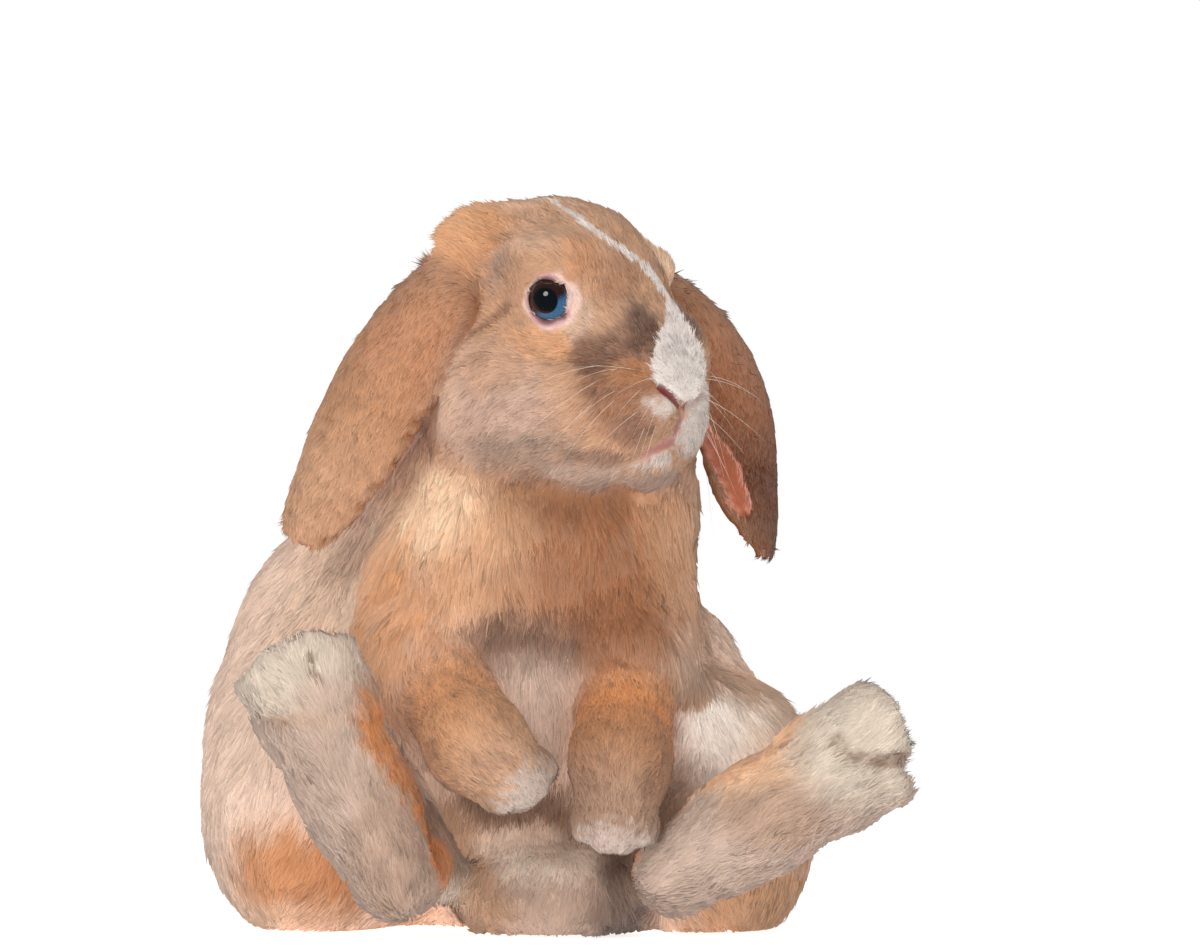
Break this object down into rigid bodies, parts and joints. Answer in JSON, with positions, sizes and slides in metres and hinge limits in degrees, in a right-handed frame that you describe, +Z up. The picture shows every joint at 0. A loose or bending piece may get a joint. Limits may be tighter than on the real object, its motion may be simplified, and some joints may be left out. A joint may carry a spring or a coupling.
{
  "type": "lop rabbit",
  "caption": "Life-size lop-eared rabbit sitting upright on its rump, head turned to its left, hind feet out in front and forepaws over its belly.",
  "frame": {"origin": "on the floor, under the middle of the whole", "axes": "+Z up; the chest and belly face -Y; the rabbit's own left side is at +X"},
  "size_m": [0.2948, 0.2436, 0.3056],
  "materials": {
    "coat": "soft short fur, fawn to orange, with grey cheeks and a white blaze",
    "foot_coat": "dense woolly fur, cream",
    "eye": "wet and glossy, dark pupil in a blue and brown iris"
  },
  "bodies": {
    "root": {"torso": "coat", "neck": "coat", "head": "coat", "ear_left": "coat", "ear_right": "coat", "eye_left": "eye", "eye_right": "eye", "foreleg_left": "coat", "foreleg_right": "coat", "thigh_left": "coat", "thigh_right": "coat", "shin_left": "foot_coat", "shin_right": "foot_coat", "hind_foot_left": "foot_coat", "hind_foot_right": "foot_coat", "tail": "coat"}
  },
  "joints": []
}
